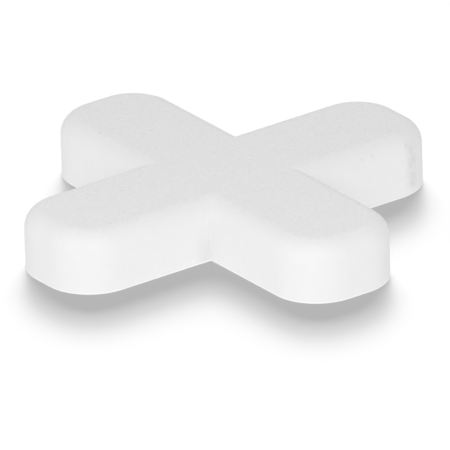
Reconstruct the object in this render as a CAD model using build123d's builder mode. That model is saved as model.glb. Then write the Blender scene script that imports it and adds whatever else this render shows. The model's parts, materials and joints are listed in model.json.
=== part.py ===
from build123d import *
import os

# A tile spacer: one flat cross, moulded in one piece, with four equal arms at right angles.
# It lies on its flat base at the point where four tiles meet. Each arm fills the joint between
# two tiles, and each inner corner takes the corner of one tile.
#
# The origin is the centre of the base. X and Y run along the arms, and Z points up.
# All sizes are in millimetres.

# The cross seen from above
joint_width = 6.35  # width of each arm, which sets the gap between two tiles (a quarter inch)
overall_span = 22.4  # tip to tip, along either pair of arms
end_corner_radius = 2.55  # the two corners of each arm's squared-off end

# The cross seen from the side
thickness = 3.175  # base to top (an eighth of an inch)
top_edge_radius = 1.0  # the soft rolled edge all round the top; the base keeps its crisp edge

os.makedirs("parts", exist_ok=True)

# One bar of the cross, tip to tip: squared-off ends with large corners, and a rolled top edge.
with BuildPart() as bar:
    with BuildSketch(Plane.XY):
        RectangleRounded(overall_span, joint_width, end_corner_radius)
    extrude(amount=thickness)
    top_face = bar.faces().sort_by(Axis.Z)[-1]
    fillet(top_face.edges(), radius=top_edge_radius)

# The spacer is that bar and the same bar a quarter turn on, grown together where they cross.
# The arms meet in sharp inner corners, and their rolled edges meet there in a mitred valley.
with BuildPart() as tile_spacer:
    with PolarLocations(radius=0, count=2, angular_range=180):
        add(bar.part)

tile_spacer.part.label = "tile_spacer"
export_step(tile_spacer.part, "parts/tile_spacer.step")
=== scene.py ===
import json
import math

import bpy
from mathutils import Matrix, Vector


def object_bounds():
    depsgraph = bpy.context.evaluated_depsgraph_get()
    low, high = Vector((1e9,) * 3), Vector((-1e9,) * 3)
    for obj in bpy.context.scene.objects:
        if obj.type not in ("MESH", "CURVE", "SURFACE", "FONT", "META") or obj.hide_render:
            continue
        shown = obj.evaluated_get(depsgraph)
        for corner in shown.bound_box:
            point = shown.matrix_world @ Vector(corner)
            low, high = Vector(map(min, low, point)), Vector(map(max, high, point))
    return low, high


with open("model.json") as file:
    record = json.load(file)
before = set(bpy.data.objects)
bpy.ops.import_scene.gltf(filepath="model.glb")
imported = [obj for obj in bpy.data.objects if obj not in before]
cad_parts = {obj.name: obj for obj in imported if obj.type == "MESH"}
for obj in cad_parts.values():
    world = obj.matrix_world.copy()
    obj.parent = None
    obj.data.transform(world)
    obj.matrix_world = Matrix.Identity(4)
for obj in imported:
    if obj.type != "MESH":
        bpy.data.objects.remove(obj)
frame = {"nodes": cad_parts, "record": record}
cad_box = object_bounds()
spacer = frame["nodes"]["tile_spacer"]
mount_places = {mount["name"]: mount["pos_m"] for mount in frame["record"]["mounts"]}

# Lengths are in metres, in the part's frame: the origin is the centre of the flat base, X and Y run
# along the arms and Z is up. Angles are in degrees. Directions are an azimuth and an elevation, where
# azimuth 0 stands on the -Y side and looks along +Y.
MM = 0.001
MM_PER_METRE = 1000.0

# The photograph's view: a long lens, about a metre away. The sensor and the lens are in millimetres.
VIEW_AZIMUTH = 54.35
VIEW_ELEVATION = 24.3
VIEW_ROLL = -1.63
VIEW_DISTANCE = 1.0
VIEW_TARGET = Vector((0.056 * MM, -0.045 * MM, -0.057 * MM))
SENSOR_WIDTH = 36.0
LENS = 1608.0
CLIP_RATIO = 10.0  # the camera sees from a tenth of its distance to ten times it

# Light levels, where 1 is the white of the picture. The sky is an even white tent all round, and the
# table's glow is the white table as the spacer itself meets it. The picture's floor takes only a little
# of the sky, so that its shadow comes almost wholly from the two floor lamps and is as soft as the
# photograph's. The lift is the part of its white that no shadow reaches. With the lamps and the sky it
# comes to a hair over white.
WHITE = (1.0, 1.0, 1.0, 1.0)
SKY = 0.67
TABLE_GLOW = 0.93
FLOOR_GREY = 0.1
FLOOR_LIFT = 0.395

# The floor reaches this far each way, and lies just under the base so that the two faces never touch
FLOOR_REACH = 2.0
FLOOR_DROP = 0.01 * MM

# A softbox of this strength, seen face on from one metre, gives a surface the level at which its colour
# renders as it is written. It grows with the square of the distance.
PLAIN_WATTS = math.pi ** 2
SOFTBOX_DISTANCE = 0.1
LAMP_TARGET = Vector((0.0, 0.0, 1.5 * MM))

# The colours: plastic as moulded, the grey of marks and painted shade, and the painted base edge highlight
CLEAN = (0.937, 0.937, 0.937, 1.0)
GREYED = (0.45, 0.45, 0.445, 1.0)
BASE_EDGE_HIGHLIGHT = (0.97, 0.97, 0.97, 1.0)

# How much grey each thing adds, where 1 goes all the way from CLEAN to GREYED
CLOUD_GREY = 0.08
SPECKLE_GREY = 0.11
SIDE_GREY = 0.07
SPECK_GREY = 0.14
FLECK_GREY = 0.16
# Painted shade: a band down the +Y arm's rounded end
SHADE_BAND_GREY = 0.26
# Painted shade on the +Y arm's end beyond that band
END_SHADE_GREY = 0.035
CORNER_GREY = 0.16

# How fine the plastic's patterns are, in features per millimetre
SPECKLES = 6.0
CLOUDS = 1.5
FLECKS = 1.4
BLOTCHES = 2.5

# How rough the plastic is, how much the top's grain varies that, and how high the grain stands
ROUGHNESS = 0.6
ROUGHNESS_SPREAD = 0.16
GRAIN_HEIGHT = 0.01 * MM
GRAIN_STRENGTH = 0.3

# All that follows is in millimetres. The top's height and the distance of an arm's sides from its
# centre line come from the frame.
TOP = cad_box[1][2] * MM_PER_METRE
ARM_SIDE = mount_places["east_arm_north_side"][1] * MM_PER_METRE

# Where the photograph shows specks of dirt: three low on the +Y arm's rolled edge and three on the top
# of the -X arm. A speck fades from its inner to its outer radius, and its edge wanders a little.
SPECKS = (
    (ARM_SIDE - 0.145, 6.33, TOP - 0.475),
    (ARM_SIDE - 0.145, 6.99, TOP - 0.475),
    (ARM_SIDE - 0.185, 9.07, TOP - 0.475),
    (-6.54, -1.6, TOP),
    (-7.41, -0.34, TOP),
    (-5.6, -0.85, TOP),
)
SPECK_OUTER = 0.22
SPECK_INNER = 0.12
SPECK_WANDER = 0.2

# The sparse dark flecks of the top fade from their inner to their outer radius too
FLECK_OUTER = 0.1
FLECK_INNER = 0.036

# The upright lines of the painted shade band and the front inner corner's shade, and their reach
SHADE_BAND_LINE = (ARM_SIDE - 0.105, 9.37)
SHADE_BAND_REACH = 0.6
CORNER_LINE = (ARM_SIDE, -ARM_SIDE - 0.325)
CORNER_REACH = 0.8


def direction(azimuth, elevation):
    """The unit vector from the origin towards a place at that azimuth and elevation."""
    around = math.radians(azimuth)
    above = math.radians(elevation)
    level = math.cos(above)
    return Vector((math.sin(around) * level, -math.cos(around) * level, math.sin(above)))


def place_camera():
    back = direction(VIEW_AZIMUTH, VIEW_ELEVATION)
    right = direction(VIEW_AZIMUTH + 90.0, 0.0)
    up = back.cross(right)
    turn = math.radians(VIEW_ROLL)
    rolled_right = math.cos(turn) * right + math.sin(turn) * up
    rolled_up = math.cos(turn) * up - math.sin(turn) * right
    data = bpy.data.cameras.new("camera")
    data.sensor_width = SENSOR_WIDTH
    data.lens = LENS
    data.clip_start = VIEW_DISTANCE / CLIP_RATIO
    data.clip_end = VIEW_DISTANCE * CLIP_RATIO
    camera = bpy.data.objects.new("camera", data)
    axes = Matrix((rolled_right, rolled_up, back)).transposed()
    camera.matrix_world = Matrix.Translation(VIEW_TARGET + VIEW_DISTANCE * back) @ axes.to_4x4()
    bpy.context.scene.collection.objects.link(camera)
    bpy.context.scene.camera = camera


def place_lamp(data, azimuth, elevation, distance, lit):
    """Stands a lamp at that place, turned to the spacer, and lets it light only the given object."""
    lamp = bpy.data.objects.new(data.name, data)
    toward = direction(azimuth, elevation)
    lamp.location = LAMP_TARGET + toward * distance
    lamp.rotation_mode = "QUATERNION"
    lamp.rotation_quaternion = toward.to_track_quat("Z", "Y")
    receivers = bpy.data.collections.new(data.name + "_receivers")
    receivers.objects.link(lit)
    lamp.light_linking.receiver_collection = receivers
    bpy.context.scene.collection.objects.link(lamp)


def spacer_lamp(name, azimuth, elevation, width, height, strength):
    """An oval softbox that lights the spacer alone."""
    data = bpy.data.lights.new(name, "AREA")
    data.shape = "ELLIPSE"
    data.size = width
    data.size_y = height
    data.energy = strength * PLAIN_WATTS * SOFTBOX_DISTANCE ** 2
    place_lamp(data, azimuth, elevation, SOFTBOX_DISTANCE, spacer)


def floor_lamp(name, floor, elevation, angle, level):
    """A broad lamp behind the spacer. It gives the floor part of its white, and the spacer its shadow."""
    data = bpy.data.lights.new(name, "SUN")
    data.angle = math.radians(angle)
    data.energy = level * math.pi / (FLOOR_GREY * math.sin(math.radians(elevation)))
    place_lamp(data, VIEW_AZIMUTH + 180.0, elevation, VIEW_DISTANCE, floor)


class Tree:
    """A node tree that is built with short calls."""

    def __init__(self, owner):
        owner.use_nodes = True
        self.nodes = owner.node_tree.nodes
        self.links = owner.node_tree.links
        self.nodes.clear()

    def add(self, kind, inputs, **settings):
        """Adds a node. Its inputs are given as numbers, colours or the outputs of other nodes."""
        node = self.nodes.new("ShaderNode" + kind)
        for name, value in settings.items():
            setattr(node, name, value)
        for name, value in inputs.items():
            if isinstance(value, bpy.types.NodeSocket):
                self.links.new(value, node.inputs[name])
            else:
                node.inputs[name].default_value = value
        return node

    def math(self, operation, first, second):
        return self.add("Math", {0: first, 1: second}, operation=operation).outputs["Value"]

    def chain(self, operation, values):
        """Works through the values from the first to the last, such as their sum or product."""
        total = values[0]
        for value in values[1:]:
            total = self.math(operation, total, value)
        return total

    def distance(self, place, other):
        return self.add("VectorMath", {0: place, 1: other}, operation="DISTANCE").outputs["Value"]

    def step(self, value, start, end):
        """Grows smoothly from 0 at start to 1 at end, and works downwards too."""
        inputs = {"Value": value, "From Min": start, "From Max": end}
        return self.add("MapRange", inputs, interpolation_type="SMOOTHSTEP").outputs["Result"]

    def noise(self, place, scale, detail):
        inputs = {"Vector": place, "Scale": scale, "Detail": detail, "Roughness": 0.6}
        return self.add("TexNoise", inputs).outputs["Fac"]

    def blend(self, factor, first, second):
        """Mixes two colours. The mixing node repeats its socket names, so these go by number."""
        return self.add("Mix", {0: factor, 6: first, 7: second}, data_type="RGBA").outputs[2]


def make_floor():
    """A floor that the camera sees as white with the spacer's shadow, and the spacer as a bright table."""
    mesh = bpy.data.meshes.new("floor")
    sides = ((-1, -1), (1, -1), (1, 1), (-1, 1))
    corners = [(x * FLOOR_REACH, y * FLOOR_REACH, -FLOOR_DROP) for x, y in sides]
    mesh.from_pydata(corners, [], [(0, 1, 2, 3)])
    floor = bpy.data.objects.new("floor", mesh)
    bpy.context.scene.collection.objects.link(floor)
    material = bpy.data.materials.new("pale_floor")
    tree = Tree(material)
    grey = tree.add("BsdfDiffuse", {"Color": (FLOOR_GREY, FLOOR_GREY, FLOOR_GREY, 1.0)})
    lift = tree.add("Emission", {"Color": WHITE, "Strength": FLOOR_LIFT})
    seen = tree.add("AddShader", {0: grey.outputs["BSDF"], 1: lift.outputs["Emission"]})
    glow = tree.add("Emission", {"Color": WHITE, "Strength": TABLE_GLOW})
    path = tree.add("LightPath", {})
    inputs = {"Fac": path.outputs["Is Camera Ray"], 1: glow.outputs["Emission"], 2: seen.outputs["Shader"]}
    mix = tree.add("MixShader", inputs)
    tree.add("OutputMaterial", {"Surface": mix.outputs["Shader"]})
    mesh.materials.append(material)
    return floor


def make_world():
    """White to look at, in a reflection too, and dimmer as the soft light that falls on the spacer."""
    world = bpy.data.worlds.new("studio")
    tree = Tree(world)
    path = tree.add("LightPath", {})
    inputs = {"Factor": path.outputs["Is Diffuse Ray"], "A": 1.0, "B": SKY}
    level = tree.add("Mix", inputs, data_type="FLOAT")
    background = tree.add("Background", {"Color": WHITE, "Strength": level.outputs["Result"]})
    tree.add("OutputWorld", {"Surface": background.outputs["Background"]})
    bpy.context.scene.world = world


def plastic():
    """White moulded plastic with a speckled top, plain sides, a few grey marks and painted shade and
    highlight.
    """
    material = bpy.data.materials.new("white_plastic")
    tree = Tree(material)
    greys = []

    def mark(grey, *masks):
        """Adds that much grey where every mask is 1, and less where one of them fades."""
        greys.append(tree.chain("MULTIPLY", [*masks, grey]))

    # Places in millimetres, and how far the surface faces along X and up, from -1 to 1
    object_place = tree.add("TexCoord", {}).outputs["Object"]
    scaled = tree.add("VectorMath", {0: object_place, "Scale": MM_PER_METRE}, operation="SCALE")
    place = scaled.outputs["Vector"]
    x, y, z = tree.add("SeparateXYZ", {"Vector": place}).outputs
    flat_place = tree.add("CombineXYZ", {"X": x, "Y": y}).outputs["Vector"]
    normal = tree.add("NewGeometry", {}).outputs["Normal"]
    normal_x, _, normal_z = tree.add("SeparateXYZ", {"Vector": normal}).outputs

    # Soft cloudiness all over, and the top's fine speckle, which fades out on the rolled edge where the
    # plain sides begin
    on_top = tree.step(normal_z, 0.8, 1.0)
    speckle = tree.noise(place, SPECKLES, detail=2.0)
    mark(CLOUD_GREY, tree.noise(place, CLOUDS, detail=3.0))
    mark(SPECKLE_GREY, tree.step(speckle, 0.3, 0.75), on_top)
    mark(SIDE_GREY, tree.step(normal_z, 1.0, 0.8))

    # Specks of dirt, and sparse dark flecks in the top, of which few are dark enough to show
    wander = tree.math("MULTIPLY", speckle, SPECK_WANDER)
    for speck in SPECKS:
        away = tree.math("ADD", tree.distance(place, speck), wander)
        mark(SPECK_GREY, tree.step(away, SPECK_OUTER, SPECK_INNER))
    cells = tree.add("TexVoronoi", {"Vector": place, "Scale": FLECKS}, voronoi_dimensions="2D")
    darkness = tree.add("SeparateColor", {"Color": cells.outputs["Color"]}).outputs["Red"]
    away = tree.math("DIVIDE", cells.outputs["Distance"], FLECKS)
    mark(FLECK_GREY, tree.step(away, FLECK_OUTER, FLECK_INNER), tree.step(darkness, 0.7, 1.0), on_top)

    # A blotchy painted shade band down the rounded end of the +Y arm, between the base and the rolled edge
    near_line = tree.step(tree.distance(flat_place, (*SHADE_BAND_LINE, 0.0)), SHADE_BAND_REACH, 0.0)
    above_base = tree.step(z, 0.1, 0.7)
    below_roll = tree.step(z, TOP - 0.075, TOP - 0.675)
    blotches = tree.step(tree.noise(place, BLOTCHES, detail=2.0), 0.2, 0.7)
    mark(SHADE_BAND_GREY, near_line, above_base, below_roll, blotches)

    # Painted shade on the +Y arm's end beyond the shade band
    past_shade_band = tree.step(y, 9.1, 9.7)
    below_roll = tree.step(z, TOP - 0.275, TOP - 0.875)
    mark(END_SHADE_GREY, past_shade_band, tree.step(normal_x, 0.2, 0.5), below_roll)

    # The shade in the front inner corner, on the -Y arm's side, which deepens towards the base
    near_line = tree.step(tree.distance(flat_place, (*CORNER_LINE, 0.0)), CORNER_REACH, 0.0)
    mark(CORNER_GREY, near_line, tree.step(normal_x, 0.4, 0.8), tree.step(z, TOP - 0.775, 0.0))

    # A painted highlight along the base edge, where the sides end
    low_on_sides = (tree.step(z, 0.1, 0.04), tree.step(normal_z, -0.9, -0.5))
    marked = tree.blend(tree.chain("ADD", greys), CLEAN, GREYED)
    colour = tree.blend(tree.chain("MULTIPLY", low_on_sides), marked, BASE_EDGE_HIGHLIGHT)

    # The speckle is also the grain of the top, in its roughness and as a slight bump
    spread = tree.chain("MULTIPLY", [tree.math("SUBTRACT", speckle, 0.5), on_top, ROUGHNESS_SPREAD])
    roughness = tree.math("ADD", ROUGHNESS, spread)
    grain = tree.math("MULTIPLY", speckle, on_top)
    bump = tree.add("Bump", {"Height": grain, "Strength": GRAIN_STRENGTH, "Distance": GRAIN_HEIGHT})
    inputs = {"Base Color": colour, "Roughness": roughness, "Normal": bump.outputs["Normal"]}
    shader = tree.add("BsdfPrincipled", {"IOR": 1.5, "Specular IOR Level": 0.25, **inputs})
    tree.add("OutputMaterial", {"Surface": shader.outputs["BSDF"]})
    return material


spacer.data.materials.clear()
spacer.data.materials.append(plastic())

bpy.context.scene.view_settings.view_transform = "Standard"
place_camera()
floor = make_floor()
make_world()
spacer_lamp("front_softbox", VIEW_AZIMUTH, elevation=30.0, width=0.075, height=0.05, strength=0.245)
spacer_lamp("left_softbox", VIEW_AZIMUTH - 60.0, elevation=40.0, width=0.075, height=0.06, strength=0.064)
floor_lamp("floor_key", floor, elevation=30.0, angle=14.0, level=0.155)
floor_lamp("floor_wide_key", floor, elevation=36.0, angle=40.0, level=0.398)
